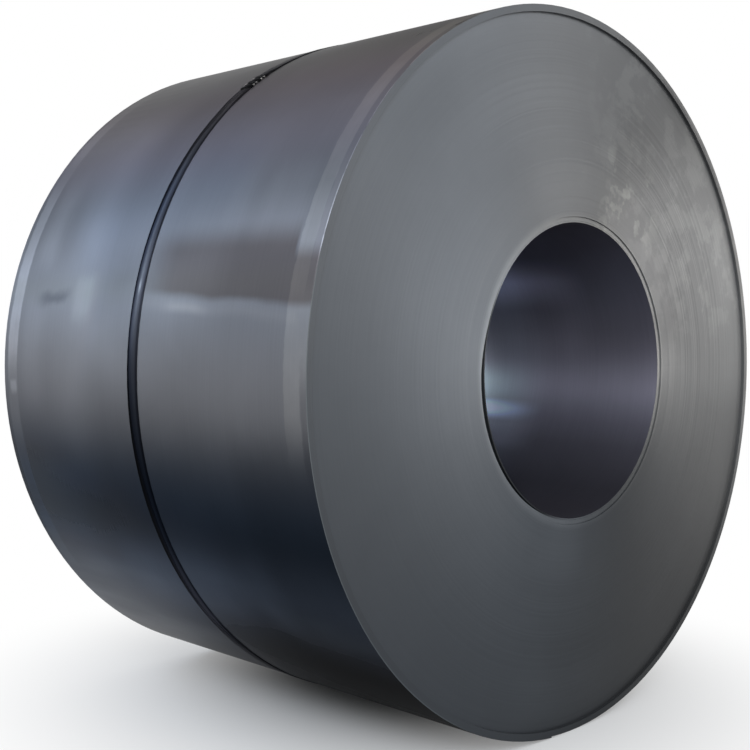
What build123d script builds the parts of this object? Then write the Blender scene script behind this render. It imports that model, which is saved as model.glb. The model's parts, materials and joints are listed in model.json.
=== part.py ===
from build123d import *
import math
import os

# Steel coil lying on its side, held shut by one crimped steel strap.
# Millimetres. The winding axis runs along Y and the near end faces -Y.
# The origin is on the floor, under the middle of the coil. Angles are read in the
# near end's view: 0 to the right, counted anticlockwise, 90 at the top.

# Driving dimensions of the coil
coil_diameter = 1500.0
bore_diameter = 610.0
strip_width = 1000.0
strip_thickness = 3.0

# How far the laps have slid along the axis towards the near end, against the outermost laps
core_stand = 18.0
rim_recess = 6.0
core_recess = 2.5
lap_step = 0.8
rim_laps = 7
core_laps = 4

# Where each band of laps begins and ends, as shares of the build-up between core and rim laps
band_shares = (0.0, 0.04, 0.14, 0.26, 0.4, 0.55, 0.7, 0.85, 1.0)
# How much of the telescoping is left at each of those places, as shares of the whole
stand_shares = (1.0, 0.98, 0.93, 0.84, 0.7, 0.53, 0.35, 0.17, 0.0)

# The innermost lap has slipped tighter, off centre, and left a gap behind it
loose_shift_right = 3.5
loose_shift_up = 1.5
loose_gap = 9.7
loose_depth = 300.0
loose_angles = (161.0, 180.0, 197.0, 222.0, 251.0)
loose_gap_shares = (0.0, 0.85, 1.0, 0.6, 0.0)

# Strap, with its outer end lapped over its inner end
strap_width = 32.0
strap_thickness = 0.9
strap_clearance = 0.3
strap_layer_gap = 0.25
strap_inner_end_angle = 131.5
strap_outer_end_angle = 119.5
strap_ramp_length = 30.0

# Seal crimped over both ends
seal_angle = 125.5
seal_length = 58.0
seal_sheet = 1.0
seal_clearance = 0.3
notch_spacing = 26.0
notch_length = 7.0
notch_depth = 4.0
notch_ear = 3.0

# What every cut and oversize blank reaches past the form
overrun = 5.0

# Derived sizes
coil_radius = coil_diameter / 2
bore_radius = bore_diameter / 2
rim_radius = coil_radius - rim_laps * strip_thickness
core_radius = bore_radius + core_laps * strip_thickness
build_up = rim_radius - core_radius
stand_travel = core_stand + rim_recess
near_reach = strip_width / 2 + core_stand + lap_step
far_reach = strip_width / 2 + rim_recess
coil_length = near_reach + far_reach
middle_y = (near_reach - far_reach) / 2
strap_stand = strap_clearance + strap_thickness
# The strip's outer end is pinned under the coil, which rests on the straight run of strap
# from the end's edge to the lap below
bridge_angle = math.degrees(
    math.acos(
        (coil_radius + strap_stand - strip_thickness / 2)
        / (coil_radius + strap_stand + strip_thickness / 2)
    )
)
tail_angle = 270 - bridge_angle
axis_height = (coil_radius + strap_stand) * math.cos(math.radians(bridge_angle))

coil_axis = Axis((0, 0, axis_height), (0, 1, 0))
winding_plane = Plane.XY.offset(axis_height)
# Looked at from the near end: local X to the right, local Y up, Z towards the viewer
middle_section = Plane((0, middle_y, axis_height), x_dir=(1, 0, 0), z_dir=(0, -1, 0))
near_section = middle_section.offset(near_reach + overrun)


def polar(radius, angle):
    return (radius * math.cos(math.radians(angle)), radius * math.sin(math.radians(angle)))


def arc_degrees(length, radius):
    return math.degrees(length / radius)


def end_corners():
    # Radius and stand of every corner of the end face, from inside the bore outwards
    core_top = core_stand - core_recess
    corners = [(bore_radius - loose_shift_right - overrun, core_top), (core_radius, core_top)]
    bands = zip(band_shares, band_shares[1:], stand_shares, stand_shares[1:])
    for start, end, stand_in, stand_out in bands:
        corners.append((core_radius + build_up * start, stand_travel * stand_in - rim_recess))
        corners.append(
            (core_radius + build_up * end, stand_travel * stand_out - rim_recess + lap_step)
        )
    corners += [(rim_radius, 0), (coil_radius + overrun, 0)]
    return corners


def lap_outline(offset, bridge_tail):
    # The coil's outer outline, stepped at the strip's end and grown by an offset.
    # A strap bridges the step in a straight line instead of following it.
    full_radius = coil_radius + offset
    eased_radius = coil_radius - strip_thickness / 2 + offset
    eased_centre = polar(strip_thickness / 2, tail_angle + 180)
    bridged = 0
    if bridge_tail:
        bridged = math.degrees(math.acos(eased_radius / (full_radius + strip_thickness / 2)))
    full = CenterArc((0, 0), full_radius, tail_angle - 180, 180)
    eased = CenterArc(eased_centre, eased_radius, tail_angle + bridged, 180 - bridged)
    Line(full @ 1, eased @ 0)


def arc_band(inner_radius, outer_radius, start_angle, end_angle):
    # A curved bar round the winding axis
    turn = end_angle - start_angle
    inner = CenterArc((0, 0), inner_radius, start_angle, turn)
    outer = CenterArc((0, 0), outer_radius, start_angle, turn)
    Line(inner @ 0, outer @ 0)
    Line(inner @ 1, outer @ 1)


# Coil: all laps as one turned solid, stepped at its ends as the laps have slid
with BuildPart() as coil:
    with BuildSketch(winding_plane):
        with BuildLine():
            near_edge = [(r, middle_y - strip_width / 2 - s) for r, s in end_corners()]
            far_edge = [(r, middle_y + strip_width / 2 - s) for r, s in end_corners()]
            Polyline(*near_edge, *reversed(far_edge), close=True)
        make_face()
    revolve(axis=coil_axis)
    with BuildSketch(near_section):
        with BuildLine():
            lap_outline(0, False)
        make_face()
    extrude(amount=-(coil_length + 2 * overrun), mode=Mode.INTERSECT)
    # Bore, as the innermost lap leaves it
    with BuildSketch(near_section):
        with Locations((loose_shift_right, loose_shift_up)):
            Circle(bore_radius)
    extrude(amount=-(coil_length + 2 * overrun), mode=Mode.SUBTRACT)
    # Gap behind the innermost lap
    with BuildSketch(near_section):
        with Locations((loose_shift_right, loose_shift_up)):
            with BuildLine():
                lap_back = bore_radius + strip_thickness
                gap_points = [
                    polar(lap_back + loose_gap * share, angle)
                    for angle, share in zip(loose_angles, loose_gap_shares)
                ]
                Spline(*gap_points)
                CenterArc((0, 0), lap_back, loose_angles[0], loose_angles[-1] - loose_angles[0])
            make_face()
    extrude(amount=-(loose_depth + overrun), mode=Mode.SUBTRACT)
coil.part.label = "coil"

# Strap: one band round the middle, its outer end riding up over its inner end
strap_inner = coil_radius + strap_clearance
strap_outer = strap_inner + strap_thickness
strap_lift = strap_thickness + strap_layer_gap
ramp_start_angle = strap_inner_end_angle + arc_degrees(strap_ramp_length, strap_inner)
with BuildPart() as strap:
    with BuildSketch(middle_section.offset(strap_width / 2)):
        with BuildLine():
            lap_outline(strap_stand, True)
        make_face()
        with BuildLine():
            lap_outline(strap_clearance, True)
        make_face(mode=Mode.SUBTRACT)
        with BuildLine():
            arc_band(strap_inner - overrun, strap_outer + overrun, strap_inner_end_angle, ramp_start_angle)
        make_face(mode=Mode.SUBTRACT)
        with BuildLine():
            Polyline(
                polar(strap_inner, ramp_start_angle),
                polar(strap_outer, ramp_start_angle),
                polar(strap_outer + strap_lift, strap_inner_end_angle),
                polar(strap_inner + strap_lift, strap_inner_end_angle),
                close=True,
            )
        make_face()
        with BuildLine():
            arc_band(
                strap_inner + strap_lift,
                strap_outer + strap_lift,
                strap_outer_end_angle,
                strap_inner_end_angle,
            )
        make_face()
    extrude(amount=-strap_width)
strap.part.label = "strap"

# Seal: a sheet sleeve folded over both layers of strap, notched from its two sides
sleeve_inner = strap_outer + strap_lift + seal_clearance
sleeve_outer = sleeve_inner + seal_sheet
sleeve_half_turn = arc_degrees(seal_length, sleeve_outer) / 2
sleeve_gap_width = strap_width + 2 * seal_clearance
sleeve_width = sleeve_gap_width + 2 * seal_sheet
with BuildPart() as strap_seal:
    with BuildSketch(middle_section.offset(sleeve_width / 2)):
        with BuildLine():
            arc_band(strap_inner, sleeve_outer, seal_angle - sleeve_half_turn, seal_angle + sleeve_half_turn)
        make_face()
    extrude(amount=-sleeve_width)
    with BuildSketch(middle_section.offset(sleeve_gap_width / 2)):
        with BuildLine():
            arc_band(
                strap_inner - overrun,
                sleeve_inner,
                seal_angle - 2 * sleeve_half_turn,
                seal_angle + 2 * sleeve_half_turn,
            )
        make_face()
    extrude(amount=-sleeve_gap_width, mode=Mode.SUBTRACT)
    # Crimp notches, two a side, each with its cut tab turned outwards
    for place in (-notch_spacing / 2, notch_spacing / 2):
        notch_turn = seal_angle + arc_degrees(place, sleeve_outer)
        notch_x, notch_y = polar(sleeve_outer, notch_turn)
        outward = Vector(notch_x, 0, notch_y).normalized()
        notch_plane = Plane(
            (notch_x, middle_y, axis_height + notch_y), x_dir=Vector(0, 1, 0).cross(outward), z_dir=outward
        )
        for side in (-1, 1):
            with BuildSketch(notch_plane):
                with Locations((0, side * sleeve_width / 2)):
                    Rectangle(notch_length, 2 * notch_depth)
            extrude(amount=-(sleeve_outer - strap_inner + overrun), mode=Mode.SUBTRACT)
            with BuildSketch(notch_plane):
                with BuildLine():
                    edge = side * sleeve_width / 2
                    Polyline(
                        (notch_length / 2, edge - side * seal_sheet / 2),
                        (notch_length / 2, edge + side * notch_ear),
                        (notch_length / 2 + notch_ear, edge - side * seal_sheet / 2),
                        close=True,
                    )
                make_face()
            extrude(amount=-seal_sheet)
strap_seal.part.label = "strap_seal"

os.makedirs("parts", exist_ok=True)
export_step(coil.part, "parts/coil.step")
export_step(strap.part, "parts/strap.step")
export_step(strap_seal.part, "parts/strap_seal.step")
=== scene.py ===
import json
import math
import random

import bpy
import numpy as np
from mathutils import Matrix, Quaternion, Vector


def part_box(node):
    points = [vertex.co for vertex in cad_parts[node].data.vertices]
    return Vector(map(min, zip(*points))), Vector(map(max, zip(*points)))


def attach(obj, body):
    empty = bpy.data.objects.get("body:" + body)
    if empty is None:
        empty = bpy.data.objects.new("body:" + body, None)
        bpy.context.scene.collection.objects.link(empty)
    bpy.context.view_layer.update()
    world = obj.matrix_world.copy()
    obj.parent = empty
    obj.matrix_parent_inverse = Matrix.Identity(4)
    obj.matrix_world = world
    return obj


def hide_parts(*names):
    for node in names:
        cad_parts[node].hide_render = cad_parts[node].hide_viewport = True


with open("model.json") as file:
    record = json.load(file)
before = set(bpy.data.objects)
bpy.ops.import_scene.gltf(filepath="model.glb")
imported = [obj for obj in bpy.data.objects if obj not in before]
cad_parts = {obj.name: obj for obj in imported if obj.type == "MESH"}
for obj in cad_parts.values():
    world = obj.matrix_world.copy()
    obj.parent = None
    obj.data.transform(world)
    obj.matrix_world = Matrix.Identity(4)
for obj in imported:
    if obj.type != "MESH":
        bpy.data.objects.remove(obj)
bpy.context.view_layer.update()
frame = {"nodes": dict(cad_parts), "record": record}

# Places taken from the frame: metres, +Y along the winding axis, near end at -Y
bore = frame["record"]["mounts"][0]
borePlace = Vector(bore["pos_m"])
boreRadius = bore["dims"]["r_mm"] / 1000
stripWidth = bore["dims"]["length_mm"] / 1000
strapLow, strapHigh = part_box("strap")
strapMiddle = (strapLow.y + strapHigh.y) / 2

winding = {
    "radius": 0.75,
    "axisHeight": 0.748206,
    "laps": 148,
    "segments": 144,
    "tailAngle": math.radians(264.883),  # the strip's outer end, pinned under the coil
    # How the laps have slid: the core ones stand out to the near end, the rim ones are recessed
    "coreLaps": 4,
    "coreStand": 0.018,
    "coreRecess": 0.0025,
    "rimLaps": 5,
    "rimRecess": 0.006,
    "bandShares": (0.0, 0.04, 0.14, 0.26, 0.4, 0.55, 0.7, 0.85, 1.0),
    "standShares": (1.0, 0.98, 0.93, 0.84, 0.7, 0.53, 0.35, 0.17, 0.0),
    # How far a lap strays by itself, and how far it drifts along with the laps before it
    "seed": 11,
    "lapScatter": 0.00002,
    "scatterLimit": 2.0,
    "lapDrift": 0.00002,
    "driftKept": 0.8,
    "stepRun": 0.0005,
    "cornerRound": 0.0006,
    # The slipped innermost lap, and the gap that it left behind it on its left side
    "boreShift": (0.0035, 0.0015),
    "slipLaps": 30,
    "looseGap": 0.0097,
    "looseAngles": (161.0, 180.0, 197.0, 222.0, 251.0),
    "looseShares": (0.0, 0.85, 1.0, 0.6, 0.0),
    "looseDepth": 0.3,
    "looseLaps": 14,
    "mergeWithin": 0.00002,
    "smoothAngle": 35,
}
lap = (winding["radius"] - boreRadius) / winding["laps"]
rimEdge = borePlace.y - stripWidth / 2 + winding["coreStand"] - winding["coreRecess"]


def deselectAll():
    bpy.ops.object.select_all(action="DESELECT")
    bpy.context.view_layer.objects.active = None


def makeActive(piece):
    deselectAll()
    piece.select_set(True)
    bpy.context.view_layer.objects.active = piece


def standAt(radius):
    # How far the lap edges stand towards the near end at a radius
    core = boreRadius + winding["coreLaps"] * lap
    rim = winding["radius"] - winding["rimLaps"] * lap
    allowance = lap / 4
    if radius < core - allowance:
        return winding["coreStand"] - winding["coreRecess"]
    if radius > rim - allowance:
        return 0.0
    share = (radius - core) / (rim - core)
    left = np.interp(share, winding["bandShares"], winding["standShares"])
    return left * (winding["coreStand"] + winding["rimRecess"]) - winding["rimRecess"]


def lapEdges():
    # Inner radius, outer radius and stand of each lap, every lap a little out of line
    draw = random.Random(winding["seed"])
    limit = winding["scatterLimit"]
    drift = 0.0
    edges = []
    for number in range(winding["laps"]):
        inner = boreRadius + number * lap
        drift = winding["driftKept"] * drift + draw.gauss(0, winding["lapDrift"])
        scatter = max(-limit, min(limit, draw.gauss(0, 1))) * winding["lapScatter"]
        edges.append((inner, inner + lap, standAt(inner) + drift + scatter))
    return edges


def sectionPoints(laps):
    # Closed section of some laps: near end outwards, wall, far end inwards, bore
    run = winding["stepRun"] / 2
    cut = winding["cornerRound"]
    farEdge = rimEdge + stripWidth
    near = []
    far = []
    for inner, outer, stand in laps:
        near += [(inner + run, rimEdge - stand), (outer - run, rimEdge - stand)]
        far += [(inner + run, farEdge - stand), (outer - run, farEdge - stand)]
    inside, _, firstStand = laps[0]
    _, outside, lastStand = laps[-1]
    wall = [(outside, rimEdge - lastStand + cut), (outside, farEdge - lastStand - cut)]
    opening = [(inside, farEdge - firstStand - cut), (inside, rimEdge - firstStand + cut)]
    return near + wall + far[::-1] + opening


def spinSection(name, points):
    # A plane cut down to one corner, drawn round the section and spun about the winding axis
    tail = winding["tailAngle"]
    outward = Vector((math.cos(tail), 0, math.sin(tail)))
    centre = Vector((0, 0, winding["axisHeight"]))
    places = [centre + outward * radius + Vector((0, y, 0)) for radius, y in points]
    deselectAll()
    bpy.ops.mesh.primitive_plane_add(size=lap)
    piece = bpy.context.object
    piece.name = name
    bpy.ops.object.mode_set(mode="EDIT")
    bpy.ops.mesh.select_all(action="SELECT")
    bpy.ops.mesh.merge(type="CENTER")
    bpy.ops.transform.translate(value=places[0])
    for start, end in zip(places, places[1:]):
        bpy.ops.mesh.extrude_region_move(TRANSFORM_OT_translate={"value": end - start})
    bpy.ops.mesh.select_all(action="SELECT")
    bpy.ops.mesh.edge_face_add()
    bpy.ops.mesh.delete(type="ONLY_FACE")
    bpy.ops.mesh.select_all(action="SELECT")
    bpy.ops.mesh.spin(
        steps=winding["segments"],
        angle=2 * math.pi,
        use_auto_merge=False,
        center=centre,
        axis=(0, -1, 0),
    )
    bpy.ops.object.mode_set(mode="OBJECT")
    return piece


def settleLaps(piece, sectionCount, isLoose):
    # Moves the spun vertices to the strip's end step, the gap and the slipped bore
    mesh = piece.data
    place = np.empty(len(mesh.vertices) * 3)
    mesh.vertices.foreach_get("co", place)
    place = place.reshape(-1, 3)
    turn = (np.arange(len(place)) // sectionCount) / winding["segments"]
    angle = winding["tailAngle"] + turn * 2 * math.pi
    radius = np.hypot(place[:, 0], place[:, 2] - winding["axisHeight"])
    depth = place[:, 1] - place[:, 1].min()
    if not isLoose:
        # The outermost lap thins away to the strip's end over half a turn
        thinning = np.where(turn < 0.5, (1 + np.cos(2 * math.pi * turn)) / 2, 0)
        radius = radius - np.clip(radius - (winding["radius"] - lap), 0, None) * thinning
        # The next few laps make room for the gap, which closes deeper in
        opening = np.interp(np.degrees(angle) % 360, winding["looseAngles"], winding["looseShares"])
        further = np.clip((radius - boreRadius) / (winding["looseLaps"] * lap), 0, 1)
        closing = np.clip(1 - depth / winding["looseDepth"], 0, 1)
        radius = radius + winding["looseGap"] * opening * (1 - further) ** 2 * closing
    slip = np.clip(1 - (radius - boreRadius - lap) / (winding["slipLaps"] * lap), 0, 1)
    shiftRight, shiftUp = winding["boreShift"]
    place[:, 0] = radius * np.cos(angle) + slip * shiftRight
    place[:, 2] = winding["axisHeight"] + radius * np.sin(angle) + slip * shiftUp
    mesh.vertices.foreach_set("co", place.ravel())
    makeActive(piece)
    bpy.ops.object.mode_set(mode="EDIT")
    bpy.ops.mesh.select_all(action="SELECT")
    bpy.ops.mesh.remove_doubles(threshold=winding["mergeWithin"])
    bpy.ops.mesh.select_all(action="DESELECT")
    bpy.ops.mesh.select_non_manifold()
    if not isLoose:
        bpy.ops.mesh.edge_face_add()
    bpy.ops.mesh.select_all(action="SELECT")
    bpy.ops.mesh.normals_make_consistent(inside=False)
    bpy.ops.object.mode_set(mode="OBJECT")


def makeCoil():
    edges = lapEdges()
    pieces = []
    for name, laps, isLoose in (("wound_strip", edges[1:], False), ("first_lap", edges[:1], True)):
        points = sectionPoints(laps)
        piece = spinSection(name, points)
        settleLaps(piece, len(points), isLoose)
        pieces.append(piece)
    wound, firstLap = pieces
    makeActive(wound)
    firstLap.select_set(True)
    bpy.ops.object.join()
    bpy.ops.object.shade_smooth_by_angle(angle=math.radians(winding["smoothAngle"]))
    return wound


sides = {
    "wallLaps": 1.2,  # how many laps in from the wall one of its faces may lie
    "boreReach": 0.6 * lap + 0.01,  # how far out from the bore one of its faces may lie
    "facing": 0.5,  # how squarely a face has to look outwards or inwards
    "boreFace": 0.0005,  # the smallest face that runs the length of the bore
}


def dressCoil(piece, wallSteel, edgeSteel, boreSteel):
    # The rolled skin outside and in the bore, sheared edges everywhere else
    for material in (wallSteel, edgeSteel, boreSteel):
        piece.data.materials.append(material)
    wall, edge, inside = range(3)
    for face in piece.data.polygons:
        away = Vector((face.center.x, 0, face.center.z - winding["axisHeight"]))
        isOuter = away.length > winding["radius"] - sides["wallLaps"] * lap
        isInner = away.length < boreRadius + sides["boreReach"]
        looksIn = face.normal.dot(away) < -sides["facing"] * away.length
        face.material_index = edge
        if isOuter and abs(face.normal.y) < sides["facing"]:
            face.material_index = wall
        elif isInner and looksIn and face.area > sides["boreFace"]:
            face.material_index = inside


strapping = {
    "mergeWithin": 0.00001,
    "flatWithin": (0.1, 0.7),  # limits for joining triangles: face angle, then shape
    "bevel": {"strap": 0.00018, "strap_seal": 0.00022},
    "bevelSegments": 2,
    "cornerAngle": math.radians(35),
}


def makeStrapping(nodeName, pieceName, lacquer):
    # The strap and its seal keep their drawn shape; their sharp sheet edges are eased
    piece = bpy.data.objects.new(pieceName, frame["nodes"][nodeName].data.copy())
    bpy.context.scene.collection.objects.link(piece)
    makeActive(piece)
    faceAngle, shapeAngle = strapping["flatWithin"]
    bpy.ops.object.mode_set(mode="EDIT")
    bpy.ops.mesh.select_all(action="SELECT")
    bpy.ops.mesh.remove_doubles(threshold=strapping["mergeWithin"])
    bpy.ops.mesh.select_all(action="SELECT")
    bpy.ops.mesh.tris_convert_to_quads(face_threshold=faceAngle, shape_threshold=shapeAngle)
    bpy.ops.mesh.customdata_custom_splitnormals_clear()
    bpy.ops.object.mode_set(mode="OBJECT")
    ease = piece.modifiers.new("ease", "BEVEL")
    ease.width = strapping["bevel"][nodeName]
    ease.segments = strapping["bevelSegments"]
    ease.limit_method = "ANGLE"
    ease.angle_limit = strapping["cornerAngle"]
    bpy.ops.object.modifier_apply(modifier="ease")
    bpy.ops.object.shade_smooth_by_angle(angle=strapping["cornerAngle"])
    piece.data.materials.clear()
    piece.data.materials.append(lacquer)
    return piece


# Shader helpers: every node is placed by name and linked straight away

def addNode(tree, kind, **settings):
    node = tree.nodes.new(kind)
    for name, value in settings.items():
        setattr(node, name, value)
    return node


def feed(tree, socket, value):
    # Links a socket, or sets a plain value or colour
    if isinstance(value, bpy.types.NodeSocket):
        tree.links.new(value, socket)
    elif socket.type == "RGBA":
        socket.default_value = (*value, 1)
    else:
        socket.default_value = value


def maths(tree, operation, *values, clamp=False):
    node = addNode(tree, "ShaderNodeMath", operation=operation, use_clamp=clamp)
    for socket, value in zip(node.inputs, values):
        feed(tree, socket, value)
    return node.outputs[0]


def shifted(tree, value, *shifts):
    # A value with others added, each times its amount
    for other, amount in shifts:
        value = maths(tree, "ADD", value, maths(tree, "MULTIPLY", other, amount))
    return value


def together(tree, *shares):
    product = shares[0]
    for share in shares[1:]:
        product = maths(tree, "MULTIPLY", product, share)
    return product


def rise(tree, value, start, full):
    # 0 at the start, 1 where it is full, smooth between; it falls where start is above full
    node = addNode(tree, "ShaderNodeMapRange", interpolation_type="SMOOTHSTEP")
    feed(tree, node.inputs["Value"], value)
    feed(tree, node.inputs["From Min"], min(start, full))
    feed(tree, node.inputs["From Max"], max(start, full))
    feed(tree, node.inputs["To Min"], 1.0 if start > full else 0.0)
    feed(tree, node.inputs["To Max"], 0.0 if start > full else 1.0)
    return node.outputs["Result"]


def fade(tree, value, limits):
    # Two limits say where a mark starts and is full, two more where it fades and is gone.
    # With no limits the value itself is the mark's share.
    if not limits:
        return value
    share = rise(tree, value, limits[0], limits[1])
    if len(limits) == 4:
        share = maths(tree, "MULTIPLY", share, rise(tree, value, limits[3], limits[2]))
    return share


def blend(tree, share, first, second, mode="MIX"):
    node = addNode(tree, "ShaderNodeMix", data_type="RGBA", blend_type=mode, clamp_factor=True)
    for label, value in (("Factor", share), ("A", first), ("B", second)):
        feed(tree, node.inputs[label], value)
    return node.outputs["Result"]


def noise(tree, vector, grain):
    # A grain is a scale, detail, roughness and, for some, distortion
    node = addNode(tree, "ShaderNodeTexNoise", noise_dimensions="3D")
    feed(tree, node.inputs["Vector"], vector)
    for label, value in zip(("Scale", "Detail", "Roughness", "Distortion"), grain):
        feed(tree, node.inputs[label], value)
    return node.outputs["Fac"]


def evenNoise(tree, vector, grain):
    # Noise that goes as far below zero as above it
    return maths(tree, "SUBTRACT", noise(tree, vector, grain), 0.5)


def turnShare(tree, turn, seam):
    # Turn in degrees as a place from 0 to 1, counted from the seam
    return maths(tree, "FRACT", maths(tree, "DIVIDE", maths(tree, "SUBTRACT", turn, seam), 360.0))


def fullTurn(tree, turn):
    # Turn from 0 to 360 degrees, so that a mark can cross the right side
    return maths(tree, "MULTIPLY", turnShare(tree, turn, 0), 360.0)


def newGroup(name, inputs, outputs):
    group = bpy.data.node_groups.new(name, "ShaderNodeTree")
    for side, sockets in (("INPUT", inputs), ("OUTPUT", outputs)):
        for label, kind in sockets.items():
            group.interface.new_socket(label, in_out=side, socket_type="NodeSocket" + kind)
    return group, group.nodes.new("NodeGroupInput"), group.nodes.new("NodeGroupOutput")


def useGroup(tree, group, **values):
    node = addNode(tree, "ShaderNodeGroup", node_tree=group)
    for label, value in values.items():
        feed(tree, node.inputs[label], value)
    return node


def centredPlace(tree):
    # Place measured from the middle of the near edge
    coords = addNode(tree, "ShaderNodeTexCoord")
    centred = addNode(tree, "ShaderNodeMapping", vector_type="POINT")
    centred.inputs["Location"].default_value = (0, -rimEdge, -winding["axisHeight"])
    feed(tree, centred.inputs["Vector"], coords.outputs["Object"])
    return centred.outputs["Vector"]


def makeCoilPlace():
    # Radius, degrees up from the left side, and distance from the near edge
    group, _, out = newGroup("coilPlace", {}, {"Radius": "Float", "Turn": "Float", "Depth": "Float"})
    parts = addNode(group, "ShaderNodeSeparateXYZ")
    feed(group, parts.inputs[0], centredPlace(group))
    across = maths(group, "MULTIPLY", parts.outputs["X"], parts.outputs["X"])
    upward = maths(group, "MULTIPLY", parts.outputs["Z"], parts.outputs["Z"])
    left = maths(group, "MULTIPLY", parts.outputs["X"], -1.0)
    turn = maths(group, "ARCTAN2", parts.outputs["Z"], left)
    feed(group, out.inputs["Radius"], maths(group, "SQRT", maths(group, "ADD", across, upward)))
    feed(group, out.inputs["Turn"], maths(group, "MULTIPLY", turn, 180 / math.pi))
    feed(group, out.inputs["Depth"], parts.outputs["Y"])
    return group


rolling = {"streak": (1.0, 4.0, 0.6), "cloud": (5.0, 3.0, 0.55, 0.4)}


def makeRollGrain():
    # Streaks of a rolled surface, long round the coil and fine along its axis, and slow clouds
    group, given, out = newGroup(
        "rollGrain",
        {"Vector": "Vector", "Fine": "Float", "Round": "Float"},
        {"Streak": "Float", "Cloud": "Float"},
    )
    scale = addNode(group, "ShaderNodeCombineXYZ")
    for label, source in (("X", "Round"), ("Y", "Fine"), ("Z", "Round")):
        feed(group, scale.inputs[label], given.outputs[source])
    stretched = addNode(group, "ShaderNodeVectorMath", operation="MULTIPLY")
    feed(group, stretched.inputs[0], given.outputs["Vector"])
    feed(group, stretched.inputs[1], scale.outputs[0])
    feed(group, out.inputs["Streak"], noise(group, stretched.outputs["Vector"], rolling["streak"]))
    feed(group, out.inputs["Cloud"], noise(group, given.outputs["Vector"], rolling["cloud"]))
    return group


def makeTintedMark():
    # Multiplies a colour by a tint, as far as the mark's share says
    group, given, out = newGroup(
        "tintedMark", {"Colour": "Color", "Share": "Float", "Tint": "Color"}, {"Colour": "Color"}
    )
    tinted = blend(group, 1.0, given.outputs["Colour"], given.outputs["Tint"], "MULTIPLY")
    marked = blend(group, given.outputs["Share"], given.outputs["Colour"], tinted)
    feed(group, out.inputs["Colour"], marked)
    return group


def makeUnevenTone():
    # Lightens and darkens a colour by a grain, evenly either way
    group, given, out = newGroup(
        "unevenTone", {"Colour": "Color", "Grain": "Float", "Amount": "Float"}, {"Colour": "Color"}
    )
    swing = maths(group, "MULTIPLY", given.outputs["Amount"], 2.0)
    lowest = maths(group, "SUBTRACT", 1.0, given.outputs["Amount"])
    level = maths(group, "ADD", maths(group, "MULTIPLY", given.outputs["Grain"], swing), lowest)
    feed(group, out.inputs["Colour"], blend(group, 1.0, given.outputs["Colour"], level, "MULTIPLY"))
    return group


coilPlace = makeCoilPlace()
rollGrain = makeRollGrain()
tintedMark = makeTintedMark()
unevenTone = makeUnevenTone()

toning = {
    "redLost": 0.11,  # by one step of blueness
    "blueWon": 0.15,
    "fewStops": 12,  # a ramp with more of them runs as one smooth curve
}


def newMaterial(name, finish):
    # A material with its Principled settings, the place on the coil and the rolled grain
    material = bpy.data.materials.new(name)
    material.use_nodes = True
    tree = material.node_tree
    shader = tree.nodes["Principled BSDF"]
    feed(tree, shader.inputs["Metallic"], finish["metallic"])
    feed(tree, shader.inputs["Specular IOR Level"], finish["specular"])
    feed(tree, shader.inputs["Specular Tint"], finish["grazing"])
    if "anisotropy" in finish:
        feed(tree, shader.inputs["Anisotropic"], finish["anisotropy"])
        tangent = addNode(tree, "ShaderNodeTangent", direction_type="RADIAL", axis="Y")
        feed(tree, shader.inputs["Tangent"], tangent.outputs["Tangent"])
    centred = centredPlace(tree)
    outputs = list(useGroup(tree, coilPlace).outputs)
    if "grain" in finish:
        outputs += useGroup(tree, rollGrain, Vector=centred, **finish["grain"]).outputs
    fields = {socket.name.lower(): socket for socket in outputs}
    return material, shader, centred, fields


def toned(tree, turn, finish):
    # The steel's colour, times a ramp round the coil that paints its light and shade
    stops = finish["tone"]
    node = addNode(tree, "ShaderNodeValToRGB")
    feed(tree, node.inputs["Fac"], turnShare(tree, turn, finish["seam"]))
    node.color_ramp.interpolation = "B_SPLINE" if len(stops) > toning["fewStops"] else "EASE"
    while len(node.color_ramp.elements) < len(stops):
        node.color_ramp.elements.new(0.5)
    for element, (place, level, cool) in zip(node.color_ramp.elements, stops):
        red = level * (1 - toning["redLost"] * cool)
        blue = level * (1 + toning["blueWon"] * cool)
        element.position = (place - finish["seam"]) / 360
        element.color = (red, level, blue, 1)
    return blend(tree, 1.0, finish["steel"], node.outputs["Color"], "MULTIPLY")


def markShares(tree, fields, mark):
    return [fade(tree, fields[name], limits) for name, limits in mark.items() if name != "tint"]


def paintMarks(tree, colour, fields, marks):
    # A mark lies where all of its fields are within their limits
    for mark in marks.values():
        tint = mark["tint"] if isinstance(mark["tint"], tuple) else (mark["tint"],) * 3
        share = together(tree, *markShares(tree, fields, mark))
        colour = useGroup(tree, tintedMark, Colour=colour, Share=share, Tint=tint).outputs["Colour"]
    return colour


def finishSurface(tree, shader, colour, fields, finish):
    # Lets the grain into the colour, the roughness and the relief
    for name, amount in finish["unevenTone"].items():
        toneNode = useGroup(tree, unevenTone, Colour=colour, Grain=fields[name], Amount=amount)
        colour = toneNode.outputs["Colour"]
    feed(tree, shader.inputs["Base Color"], colour)
    name, amount = finish["unevenRoughness"]
    swing = maths(tree, "MULTIPLY", fields[name], 2 * amount)
    feed(tree, shader.inputs["Roughness"], maths(tree, "ADD", swing, finish["roughness"] - amount))
    name, strength, distance = finish["relief"]
    bump = addNode(tree, "ShaderNodeBump")
    for label, value in (("Strength", strength), ("Distance", distance), ("Height", fields[name])):
        feed(tree, bump.inputs[label], value)
    feed(tree, shader.inputs["Normal"], bump.outputs["Normal"])


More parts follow.
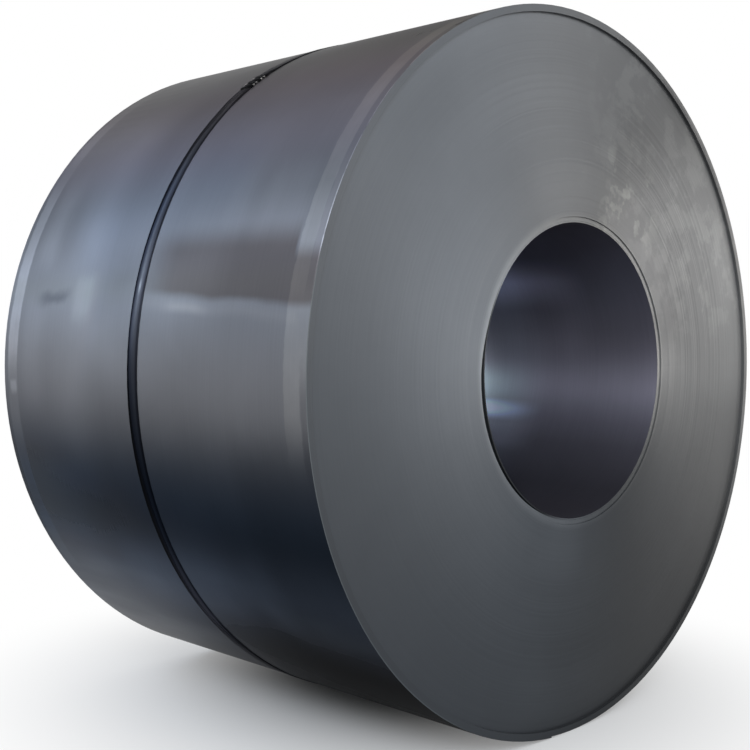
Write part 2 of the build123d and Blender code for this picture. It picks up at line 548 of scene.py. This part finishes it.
wallFinish = {
    "steel": (0.3, 0.293, 0.3),
    "metallic": 0.45,
    "roughness": 0.3,
    "specular": 0.03,
    "grazing": (0.22, 0.22, 0.23),
    "anisotropy": 0.85,
    "seam": -180,
    # Degrees up from the left side, how light the rolled skin is painted there, and how blue: the ramp
    # paints bright reflection bands about the middle and shade below it
    "tone": (
        (-180, 0.44, 0.3),
        (-165, 0.44, 0.3),
        (-120, 0.28, 0.3),
        (-85, 0.24, 0.2),
        (-58, 0.56, 0.4),
        (-42, 0.66, 1.3),
        (-34, 0.47, 1.8),
        (-26, 0.045, 3.0),
        (-18, 0.12, 2.8),
        (-11, 0.25, 0.9),
        (-4, 0.55, 0.3),
        (4, 0.7, 0.5),
        (12, 0.96, 1.1),
        (19, 0.82, 1.0),
        (27, 0.42, 1.1),
        (37, 0.5, 1.0),
        (50, 0.41, -0.3),
        (72, 0.12, -0.4),
        (110, 0.2, 0.0),
        (165, 0.44, 0.3),
        (180, 0.44, 0.3),
    ),
    "grain": {"Fine": 260.0, "Round": 2.5},
    # Scale, detail and roughness of the noises that fray the marks
    "noises": {"fray": (9.0, 4.0, 0.6), "slow": (5.0, 2.0, 0.5), "wavy": (26.0, 3.0, 0.6)},
    "frayDepth": 0.032,
    "frayTurn": 4.0,
    "waveDepth": 0.009,
    # How the brown film leans, by depth and by two noises, and where the edge band ends it; the film is
    # partly a stain and partly a painted dark reflection, the light streaks by it partly painted
    # reflections
    "lean": (-4.5, 2.0, 0.8),
    "filmEnd": {"depth": (0.066, 0.057), "turn": (16, 19)},
    # The near band starts off the edge, or at the very edge lower down
    "bandStart": {"depth": (0.016, 0.02), "frayedTurn": (14, 10)},
    "bandFraying": (1.2, 0.9),
    "smear": {"slant": 35, "scale": (3.0, 3.0, 11.0), "grain": (1.0, 2.0, 0.45)},
    # Turn in degrees, depth in metres from the near edge, and what the colour is multiplied by
    "marks": {
        # Brown film: partly a stain, partly a painted dark reflection
        "brownFilmAndDarkReflection": {
            "leaning": (9.5, 11.1),
            "turn": (23, 18),
            "frayedDepth": (0.54, 0.38),
            "belowBand": (),
            "tint": (0.56, 0.5, 0.47),
        },
        # Light streaks, partly painted reflections
        "lightStreak": {
            "leaning": (7.1, 8.7, 8.6, 10.2),
            "frayedDepth": (0.56, 0.42),
            "depth": (0.02, 0.05),
            "tint": (1.1, 1.09, 1.07),
        },
        "brightStreak": {
            "leaning": (7.2, 8.6, 8.5, 9.9),
            "depth": (0.26, 0.32, 0.37, 0.43),
            "tint": (1.22, 1.21, 1.18),
        },
        # Painted light and shade: the upper near half is a little lighter than the far one, the lower near
        # half darkest, and painted darker, lighter and bluer bands lie on the near and far halves
        "upperNear": {"turn": (44, 62, 80, 110), "depth": (0.75, 0.25), "tint": (1.36, 1.34, 1.3)},
        "upperFar": {"turn": (44, 62, 80, 110), "depth": (0.5, 0.8), "tint": (0.85, 0.84, 0.85)},
        "lowShade": {
            "turn": (-140, -100, -50, -20),
            "frayedDepth": (0.85, 0.2),
            "tint": (0.055, 0.053, 0.054),
        },
        "dusk": {"turn": (-50, -30, -16, -6), "depth": (0.9, 0.3), "tint": (0.72, 0.74, 0.78)},
        "nearMiddle": {"turn": (-2, 10, 14, 26), "depth": (0.85, 0.55), "tint": 0.78},
        "farLight": {"turn": (-24, -8, 40, 56), "depth": (0.6, 0.74), "tint": 1.4},
        "farBlue": {"turn": (-33, -23, -23, -13), "depth": (0.6, 0.84), "tint": (1.0, 1.6, 1.95)},
        "violet": {"turn": (26, 38, 50, 62), "tint": (1.06, 0.98, 1.03)},
        # Broad soft patches of painted light and shade
        "lowNear": {"frayedTurn": (-46, -38, -12, -4), "frayedDepth": (0.25, 0.15), "tint": 0.78},
        "lowNearer": {"frayedTurn": (-43, -37, -31, -25), "frayedDepth": (0.25, 0.15), "tint": 0.88},
        "lowMiddle": {
            "frayedTurn": (-47, -37, -25, -15),
            "frayedDepth": (0.26, 0.42, 0.6, 0.76),
            "tint": 1.33,
        },
        "underside": {"frayedTurn": (-93, -87, -51, -45), "frayedDepth": (0.5, 0.4), "tint": 0.72},
        "farHigh": {
            "frayedTurn": (14, 22, 28, 36),
            "frayedDepth": (0.82, 0.88, 0.9, 0.96),
            "tint": 1.28,
        },
        "farLevel": {
            "frayedTurn": (-10, -2, 8, 16),
            "frayedDepth": (0.82, 0.88, 0.9, 0.96),
            "tint": 1.14,
        },
        "nearHigh": {
            "frayedTurn": (16, 22, 28, 34),
            "frayedDepth": (0.035, 0.095, 0.16, 0.22),
            "tint": 1.17,
        },
        "middleHigh": {
            "frayedTurn": (14, 22, 32, 40),
            "frayedDepth": (0.24, 0.32, 0.41, 0.49),
            "tint": 0.88,
        },
        "middleLevel": {
            "frayedTurn": (-1, 7, 13, 21),
            "frayedDepth": (0.38, 0.48, 0.55, 0.65),
            "tint": 0.84,
        },
        "smears": {"smear": (0.4, 0.72), "turn": (-70, -50, -46, -26), "tint": (1.5, 1.48, 1.42)},
        # Lighter bands along both edges, a painted highlight and painted shade at the near corner, and the
        # edges' own wear
        "nearBand": {
            "bandStart": (),
            "wavyDepth": (0.058, 0.054),
            "turn": (-14, -3),
            "bandFraying": (),
            "tint": (1.36, 1.34, 1.28),
        },
        "edgeStrip": {
            "wavyDepth": (0.02, 0.016),
            "frayedTurn": (10, 18, 27, 35),
            "tint": (1.26, 1.22, 1.2),
        },
        # Painted highlights along the near corner, on the upper left
        "cornerHighlight": {
            "depth": (0.0028, 0.0014),
            "turn": (8, 20, 54, 66),
            "wavy": (-0.12, 0.06),
            "tint": 1.7,
        },
        "cornerHighlightPeak": {
            "depth": (0.0028, 0.0014),
            "frayedTurn": (14, 20, 24, 30),
            "tint": (1.5, 1.5, 1.48),
        },
        # Painted shade along the near edge about the left side
        "edgeShade": {
            "wavyDepth": (0.018, 0.012),
            "frayedTurn": (-16, -8, -3, 5),
            "tint": (0.72, 0.72, 0.74),
        },
        "farBand": {
            "wavyDepth": (0.942, 0.948, 0.982, 0.988),
            "frayedTurn": (-5, 5, 28, 38),
            "bandFraying": (),
            "tint": (1.8, 1.78, 1.75),
        },
        "farBandBelow": {
            "wavyDepth": (0.941, 0.949, 0.981, 0.989),
            "frayedTurn": (-42, -30, -11, 1),
            "tint": (1.35, 1.34, 1.32),
        },
        "farBandAbove": {
            "wavyDepth": (0.941, 0.949, 0.981, 0.989),
            "frayedTurn": (32, 44, 60, 72),
            "tint": (1.35, 1.34, 1.32),
        },
        "smudge": {
            "frayedTurn": (10, 12, 11.8, 13.8),
            "frayedDepth": (0.73, 0.79, 0.84, 0.9),
            "tint": (0.66, 0.67, 0.69),
        },
        # A lighter spot on the far half
        "lightSpot": {
            "frayedTurn": (6, 10, 13, 17),
            "frayedDepth": (0.64, 0.68, 0.71, 0.75),
            "tint": (1.25, 1.25, 1.22),
        },
        "edgeChip": {
            "frayedTurn": (-4.8, -3.6, -3.0, -1.8),
            "wavyDepth": (0.945, 0.955, 0.97, 0.98),
            "tint": 1.5,
        },
    },
    "unevenTone": {"streak": 0.07, "cloud": 0.12},
    "unevenRoughness": ("cloud", 0.03),
    "relief": ("streak", 0.12, 0.0004),
}


def makeWall(finish):
    material, shader, centred, fields = newMaterial("wallSteel", finish)
    tree = material.node_tree
    turn, depth = fields["turn"], fields["depth"]
    fray, slow, wavy = (evenNoise(tree, centred, grain) for grain in finish["noises"].values())
    fields["wavy"] = wavy
    fields["wavyDepth"] = shifted(tree, depth, (wavy, finish["waveDepth"]))
    fields["frayedDepth"] = shifted(tree, depth, (fray, finish["frayDepth"]))
    fields["frayedTurn"] = shifted(tree, turn, (fray, finish["frayTurn"]))
    fields["leaning"] = shifted(tree, turn, *zip((depth, slow, fray), finish["lean"]))
    aboveBand = together(tree, *markShares(tree, fields, finish["filmEnd"]))
    fields["belowBand"] = maths(tree, "SUBTRACT", 1.0, aboveBand)
    fields["bandStart"] = maths(tree, "MAXIMUM", *markShares(tree, fields, finish["bandStart"]))
    swing, base = finish["bandFraying"]
    fields["bandFraying"] = maths(tree, "ADD", maths(tree, "MULTIPLY", fray, swing), base, clamp=True)
    # Slanting smears low down
    slanting = addNode(tree, "ShaderNodeMapping", vector_type="POINT")
    slanting.inputs["Rotation"].default_value = (math.radians(finish["smear"]["slant"]), 0, 0)
    slanting.inputs["Scale"].default_value = finish["smear"]["scale"]
    feed(tree, slanting.inputs["Vector"], centred)
    fields["smear"] = noise(tree, slanting.outputs["Vector"], finish["smear"]["grain"])
    colour = paintMarks(tree, toned(tree, turn, finish), fields, finish["marks"])
    finishSurface(tree, shader, colour, fields, finish)
    return material


edgeFinish = {
    "steel": (0.3, 0.3, 0.3),
    "metallic": 0.45,
    "roughness": 0.42,
    "specular": 0.08,
    "grazing": (0.4, 0.4, 0.4),
    "anisotropy": 0.7,
    "seam": -180,
    # Turn at mid-build, lightness and blueness of the sheared edges: the ramp paints the sheen and shade
    # on the end face, lightest on the right, darkest below
    "tone": (
        (-180, 0.86, 0.0),
        (-173, 0.86, 0.0),
        (-158, 0.58, 0.0),
        (-138, 0.33, 0.2),
        (-112, 0.2, 0.3),
        (-80, 0.29, 0.9),
        (-50, 0.33, 0.8),
        (-20, 0.45, 0.6),
        (8, 0.76, 0.5),
        (30, 0.68, 0.6),
        (60, 0.52, 0.5),
        (80, 0.57, 0.2),
        (106, 0.35, 0.1),
        (118, 0.41, 0.0),
        (130, 0.68, 0.0),
        (160, 0.92, 0.0),
        (173, 0.86, 0.0),
        (180, 0.86, 0.0),
    ),
    # The tone slants: degrees of turn for each metre beyond mid-build
    "slant": 46.0,
    "middleRadius": 0.5,
    # Rings, one to a lap or two, that run in and out along each turn
    "ringScale": (1.6, 300.0, 1.6),
    "rings": (1.0, 5.0, 0.7),
    "clouds": (11.0, 5.0, 0.65),
    "specks": (19.0, 3.0, 0.6),
    "paleness": 0.3,
    "leftTurn": (-76, -48, 41, 69),
    "lowTurn": (-184, -160, -132, -108),
    "highTurn": (62, 82, 115, 135),
    # Turn in degrees, radius in metres, and what the colour is multiplied by
    "marks": {
        # Painted light and shade: the left and lower laps darken outwards, the right-hand ones lighten
        "darkerOutwards": {"leftAndLow": (), "radius": (0.42, 0.72), "tint": 0.82},
        "lighterInwards": {"allButRight": (), "radius": (0.58, 0.34), "tint": 1.12},
        "rightOutwards": {"fullTurn": (134, 154, 182, 192), "radius": (0.42, 0.72), "tint": 1.24},
        "rightInwards": {"turn": (108, 128, 162, 182), "radius": (0.58, 0.34), "tint": (0.72, 0.72, 0.73)},
        # Broad soft patches of painted light and shade
        "topOuter": {"turn": (32, 56, 86, 110), "radius": (0.57, 0.65, 0.68, 0.76), "tint": 0.9},
        "highOuter": {"turn": (106, 118, 118, 130), "radius": (0.59, 0.65, 0.69, 0.75), "tint": 1.12},
        "rightOuter": {"turn": (144, 160, 160, 176), "radius": (0.59, 0.65, 0.69, 0.75), "tint": 1.14},
        "rightInner": {"turn": (136, 156, 166, 186), "radius": (0.26, 0.34, 0.39, 0.47), "tint": 0.88},
        "lowOuter": {"turn": (-112, -96, -82, -66), "radius": (0.57, 0.65, 0.68, 0.76), "tint": 1.15},
        "lowInner": {"turn": (-98, -82, -80, -64), "radius": (0.26, 0.34, 0.38, 0.46), "tint": 1.15},
        "lowRight": {"turn": (-156, -136, -128, -108), "radius": (0.59, 0.65, 0.69, 0.75), "tint": 0.9},
        # Painted shade where the last laps step back, with a painted highlight on the corner on the left
        "rim": {"radius": (0.732, 0.736), "tint": 0.84},
        "rimRight": {"radius": (0.732, 0.736), "fullTurn": (128, 142, 182, 192), "tint": 0.66},
        "rimLine": {
            "radius": (0.731, 0.737, 0.74, 0.746),
            "turn": (98, 126, 144, 172),
            "tint": (0.74, 0.74, 0.75),
        },
        "rimCorner": {"radius": (0.7468, 0.7482), "turn": (-66, -54, 8, 20), "tint": (1.5, 1.55, 1.5)},
        # Handling scuffs, and a pale ring round the bore, a painted highlight on its rounded edge
        "scuffs": {
            "clouds": (0.48, 0.58),
            "turn": (88, 112, 160, 184),
            "radius": (0.28, 0.36),
            "tint": (1.17, 1.17, 1.16),
        },
        "rubbedLaps": {
            "specks": (0.54, 0.61),
            "turn": (96, 112, 126, 142),
            "radius": (0.56, 0.46),
            "tint": (1.3, 1.31, 1.27),
        },
        "boreEdgeHighlight": {"radius": (0.33, 0.31), "paleClouds": (), "tint": (1.5, 1.48, 1.44)},
        # Painted shade in the gap by the slipped innermost lap, on the left
        "sunkLapShade": {"radius": (0.3068, 0.3055), "turn": (-85, -65, 20, 40), "tint": 0.2},
    },
    "unevenTone": {"rings": 0.05, "clouds": 0.05},
    "unevenRoughness": ("rings", 0.015),
    "relief": ("rings", 0.022, 0.0003),
}


def makeEdges(finish):
    material, shader, centred, fields = newMaterial("lapEdgeSteel", finish)
    tree = material.node_tree
    turn, radius = fields["turn"], fields["radius"]
    fields["fullTurn"] = fullTurn(tree, turn)
    left, low, high = (fade(tree, turn, finish[name]) for name in ("leftTurn", "lowTurn", "highTurn"))
    fields["leftAndLow"] = maths(tree, "MAXIMUM", left, low)
    fields["allButRight"] = maths(tree, "MAXIMUM", fields["leftAndLow"], high)
    parts = addNode(tree, "ShaderNodeSeparateXYZ")
    feed(tree, parts.inputs[0], centred)
    ringPlace = addNode(tree, "ShaderNodeCombineXYZ")
    sources = (parts.outputs["X"], radius, parts.outputs["Z"])
    for label, source, scale in zip("XYZ", sources, finish["ringScale"]):
        feed(tree, ringPlace.inputs[label], maths(tree, "MULTIPLY", source, scale))
    fields["rings"] = noise(tree, ringPlace.outputs[0], finish["rings"])
    fields["clouds"] = noise(tree, centred, finish["clouds"])
    fields["specks"] = noise(tree, centred, finish["specks"])
    fields["paleClouds"] = maths(tree, "ADD", fields["clouds"], finish["paleness"], clamp=True)
    beyond = maths(tree, "SUBTRACT", radius, finish["middleRadius"])
    slanted = shifted(tree, turn, (beyond, -finish["slant"]))
    colour = paintMarks(tree, toned(tree, slanted, finish), fields, finish["marks"])
    finishSurface(tree, shader, colour, fields, finish)
    return material


boreFinish = {
    "steel": (0.68, 0.62, 0.7),
    "metallic": 0.5,
    "roughness": 0.3,
    "specular": 0.08,
    "grazing": (0.4, 0.4, 0.45),
    "anisotropy": 0.85,
    "seam": 0,
    # Turn, lightness and blueness round the bore: the ramp paints its light and shade, with a painted
    # glint on the right just below the middle
    "tone": (
        (0, 0.25, 0.3),
        (15, 0.25, 0.3),
        (90, 0.16, 0.3),
        (120, 0.21, 0.6),
        (135, 0.27, 0.8),
        (150, 0.3, 0.7),
        (165, 0.32, 0.4),
        (174, 0.43, 0.4),
        (181, 0.6, 0.4),
        (190, 0.88, 0.4),
        (197, 0.62, 0.5),
        (205, 0.38, 0.5),
        (216, 0.24, 0.5),
        (240, 0.09, 0.5),
        (300, 0.12, 0.3),
        (345, 0.25, 0.3),
        (360, 0.25, 0.3),
    ),
    "grain": {"Fine": 300.0, "Round": 5.0},
    "marks": {
        # Painted light high on the right and deeper in, with a painted glint on the right just below the
        # middle and painted light round it
        "paintedLightHigh": {"fullTurn": (125, 143, 139, 157), "depth": (0.1, 0.34), "tint": (3.0, 3.0, 3.1)},
        "paintedLightDeep": {"depth": (0.24, 0.42), "tint": (1.22, 1.33, 1.32)},
        "boreGlint": {
            "fullTurn": (196.5, 204.5, 200.5, 208.5),
            "depth": (0.27, 0.47, 0.6, 0.8),
            "tint": (3.6, 4.3, 5.0),
        },
        "boreGlintAbove": {
            "fullTurn": (177, 189, 193, 205),
            "depth": (0.27, 0.47, 0.6, 0.8),
            "tint": (1.25, 1.42, 1.3),
        },
        "softAbove": {"fullTurn": (128, 144, 166, 182), "depth": (0.12, 0.22, 0.37, 0.47), "tint": 1.28},
        "softBelow": {"fullTurn": (202, 210, 217, 225), "depth": (0.26, 0.38, 0.54, 0.66), "tint": 1.45},
    },
    "unevenTone": {"streak": 0.09, "cloud": 0.14},
    "unevenRoughness": ("cloud", 0.03),
    "relief": ("streak", 0.1, 0.0003),
}


def makeBore(finish):
    material, shader, _, fields = newMaterial("boreSteel", finish)
    tree = material.node_tree
    fields["fullTurn"] = fullTurn(tree, fields["turn"])
    colour = paintMarks(tree, toned(tree, fields["turn"], finish), fields, finish["marks"])
    finishSurface(tree, shader, colour, fields, finish)
    return material


strapFinish = {
    "steel": (0.1, 0.1, 0.11),
    "metallic": 0.9,
    "roughness": 0.36,
    "specular": 0.03,
    "grazing": (0.2, 0.2, 0.22),
    "seam": -180,
    # Turn, lightness and blueness of the blued and lacquered steel along the band, with painted reflection
    # bands and shade along it
    "tone": (
        (-180, 0.2, 0.2),
        (-165, 0.2, 0.2),
        (-70, 0.3, 0.2),
        (-48, 1.0, 0.0),
        (-38, 0.9, 0.6),
        (-27, 0.12, 2.8),
        (-12, 0.12, 1.8),
        (3, 0.4, 0.8),
        (13, 0.85, 1.0),
        (22, 0.5, 1.0),
        (33, 0.4, 1.0),
        (44, 0.75, -0.2),
        (53, 1.0, -0.4),
        (59, 0.25, 0.0),
        (85, 0.16, 0.0),
        (165, 0.2, 0.2),
        (180, 0.2, 0.2),
    ),
    "grain": {"Fine": 1500.0, "Round": 6.0},
    "halfWidth": 0.016,
    # Side is the share of the half width from the middle line, toEdge the metres left to the edge
    "marks": {
        # Painted shade on both sides of the band, a painted reflection along its middle and a painted
        # glint; the scratches and worn edges are wear
        "sideShade": {"side": (0.4, 0.85), "tint": (0.42, 0.42, 0.45)},
        "middleReflection": {"side": (0.34, 0.1), "turn": (4, 16, 32, 44), "tint": (1.5, 1.5, 1.45)},
        "glint": {"side": (0.34, 0.1), "turn": (11.6, 13.6, 12.8, 14.8), "tint": (2.2, 2.2, 2.1)},
        "scratches": {"streak": (0.6, 0.7), "tint": 1.6},
        "wornEdges": {"toEdge": (0.0012, 0.0), "cloud": (0.5, 0.6), "tint": (2.6, 2.6, 2.5)},
    },
    "notches": (),
    "unevenTone": {"cloud": 0.15},
    "unevenRoughness": ("streak", 0.08),
    "relief": ("streak", 0.06, 0.0002),
}
sealFinish = {
    **strapFinish,
    "roughness": 0.4,
    "tone": ((-180, 0.2, 0.0), (180, 0.2, 0.0)),
    "halfWidth": 0.0173,
    # Turns of its notches, where the cut left bare steel
    "notches": ((52.96, 53.06, 53.96, 54.06), (54.94, 55.04, 55.94, 56.04)),
    "notchSide": (0.74, 0.8),
    "bareSteel": (0.4, 0.39, 0.38),
}


def makeLacquer(name, finish):
    material, shader, _, fields = newMaterial(name, finish)
    tree = material.node_tree
    fromMiddle = maths(tree, "SUBTRACT", fields["depth"], strapMiddle - rimEdge)
    across = maths(tree, "ABSOLUTE", fromMiddle)
    fields["side"] = maths(tree, "DIVIDE", across, finish["halfWidth"])
    fields["toEdge"] = maths(tree, "SUBTRACT", finish["halfWidth"], across)
    colour = paintMarks(tree, toned(tree, fields["turn"], finish), fields, finish["marks"])
    for notch in finish["notches"]:
        bare = {"side": finish["notchSide"], "turn": notch}
        share = together(tree, *markShares(tree, fields, bare))
        colour = blend(tree, share, colour, finish["bareSteel"])
    finishSurface(tree, shader, colour, fields, finish)
    return material


print("scene: winding the coil")
coilPiece = makeCoil()
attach(coilPiece, "root")
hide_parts("coil")
print("scene: finishes")
dressCoil(coilPiece, makeWall(wallFinish), makeEdges(edgeFinish), makeBore(boreFinish))

print("scene: strap and seal")
for nodeName, pieceName, slotName, lacquerName, finish in (
    ("strap", "strap_band", "strap_steel", "strapLacquer", strapFinish),
    ("strap_seal", "seal_sleeve", "seal_steel", "sealLacquer", sealFinish),
):
    piece = makeStrapping(nodeName, pieceName, makeLacquer(lacquerName, finish))
    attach(piece, "root")
    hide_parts(nodeName)

print("scene: stage, light and camera")
view = {
    "place": (-2.1203, -1.9756, 0.8602),
    "turn": (math.radians(89.87), 0, math.radians(-42.98)),
    "lens": 58.53,
    "shift": (0.0863, -0.0741),
    "farthest": 200,
}
cameraData = bpy.data.cameras.new("photoView")
cameraData.lens = view["lens"]
cameraData.shift_x, cameraData.shift_y = view["shift"]
cameraData.clip_end = view["farthest"]
camera = bpy.data.objects.new("photoView", cameraData)
camera.location = view["place"]
camera.rotation_euler = view["turn"]
bpy.context.scene.collection.objects.link(camera)
bpy.context.scene.camera = camera

studio = {
    "floorSize": 60.0,
    "floorColour": (0.35, 0.35, 0.36),
    "shownFloor": (0.92, 0.92, 0.92),
    "floorFade": (0.15, 1.15),
    "worldLight": 0.35,
    "worldTint": (0.96, 0.99, 1.0),
}
# Place, what it is aimed at, size, power, tint, and degrees of roll
lamps = {
    "closeKey": ((1.5, -2.0, 2.1), (0.2, -0.5, 0.9), (1.4, 1.4), 7, (1.0, 1.0, 1.0), 0),
    "mirrorRight": ((3.6, -2.4, 1.5), (0.3, -0.5, 0.85), (1.6, 1.6), 26, (1.0, 0.97, 0.93), 0),
    "mirrorHigh": ((2.4, -2.9, 3.4), (0, -0.5, 0.8), (1.2, 1.2), 12, (1.0, 1.0, 1.0), 0),
    "frontLeft": ((-3.0, -3.0, 2.6), (0, -0.4, 0.8), (2.0, 1.6), 66, (0.84, 0.91, 1.0), 0),
    "leftFill": ((-3.4, 1.6, 3.0), (-0.5, 0, 0.9), (2.4, 1.6), 13, (0.9, 0.92, 1.0), 0),
    "stripBlue": ((-1.84, 3.2, 3.15), (-0.67, 0, 1.08), (2.2, 0.9), 20, (0.62, 0.77, 1.0), 60),
    "stripPale": ((-2.8, 3.0, 1.85), (-0.72, 0, 0.85), (2.2, 0.7), 18, (0.86, 0.93, 1.0), 60),
    "topSoft": ((0, 0.8, 4.0), (0, 0, 0.7), (3.0, 3.0), 6, (1.0, 1.0, 1.0), 0),
}


def lightPathMask(tree):
    # 1 for what the camera, a reflection or glass sees
    path = addNode(tree, "ShaderNodeLightPath")
    seen = maths(tree, "MAXIMUM", path.outputs["Is Camera Ray"], path.outputs["Is Glossy Ray"])
    return maths(tree, "MAXIMUM", seen, path.outputs["Is Transmission Ray"])


def mixShaders(tree, out, share, first, second):
    mix = addNode(tree, "ShaderNodeMixShader")
    for socket, source in zip(mix.inputs, (share, first, second)):
        feed(tree, socket, source)
    feed(tree, out.inputs["Surface"], mix.outputs[0])


def makeFloor():
    deselectAll()
    bpy.ops.mesh.primitive_plane_add(size=studio["floorSize"])
    floor = bpy.context.object
    floor.name = "floor"
    material = bpy.data.materials.new("paleFloor")
    material.use_nodes = True
    tree = material.node_tree
    tree.nodes.clear()
    seen = lightPathMask(tree)
    lit = addNode(tree, "ShaderNodeBsdfDiffuse")
    feed(tree, lit.inputs["Color"], blend(tree, seen, studio["floorColour"], studio["shownFloor"]))
    # Away from the coil the floor runs out to the white of the background
    glow = addNode(tree, "ShaderNodeEmission")
    coords = addNode(tree, "ShaderNodeTexCoord")
    away = addNode(tree, "ShaderNodeVectorMath", operation="LENGTH")
    feed(tree, away.inputs[0], coords.outputs["Object"])
    whitening = together(tree, rise(tree, away.outputs["Value"], *studio["floorFade"]), seen)
    out = addNode(tree, "ShaderNodeOutputMaterial")
    mixShaders(tree, out, whitening, lit.outputs[0], glow.outputs[0])
    floor.data.materials.append(material)


def makeWorld():
    world = bpy.data.worlds.new("softStudio")
    bpy.context.scene.world = world
    world.use_nodes = True
    tree = world.node_tree
    tree.nodes.clear()
    soft = addNode(tree, "ShaderNodeBackground")
    feed(tree, soft.inputs["Color"], studio["worldTint"])
    feed(tree, soft.inputs["Strength"], studio["worldLight"])
    white = addNode(tree, "ShaderNodeBackground")
    feed(tree, white.inputs["Color"], (1.0, 1.0, 1.0))
    feed(tree, white.inputs["Strength"], 1.0)
    out = addNode(tree, "ShaderNodeOutputWorld")
    mixShaders(tree, out, lightPathMask(tree), soft.outputs[0], white.outputs[0])


def makeLamp(name, place, target, size, power, tint, roll):
    data = bpy.data.lights.new(name, "AREA")
    data.shape = "RECTANGLE"
    data.size, data.size_y = size
    data.energy = power
    data.color = tint
    light = bpy.data.objects.new(name, data)
    light.location = place
    aim = (Vector(target) - Vector(place)).to_track_quat("-Z", "Y")
    light.rotation_euler = (aim @ Quaternion((0, 0, 1), math.radians(roll))).to_euler()
    light.visible_camera = False
    bpy.context.scene.collection.objects.link(light)


makeFloor()
makeWorld()
for name, lamp in lamps.items():
    makeLamp(name, *lamp)
bpy.context.scene.view_settings.view_transform = "Standard"

print("scene: done")
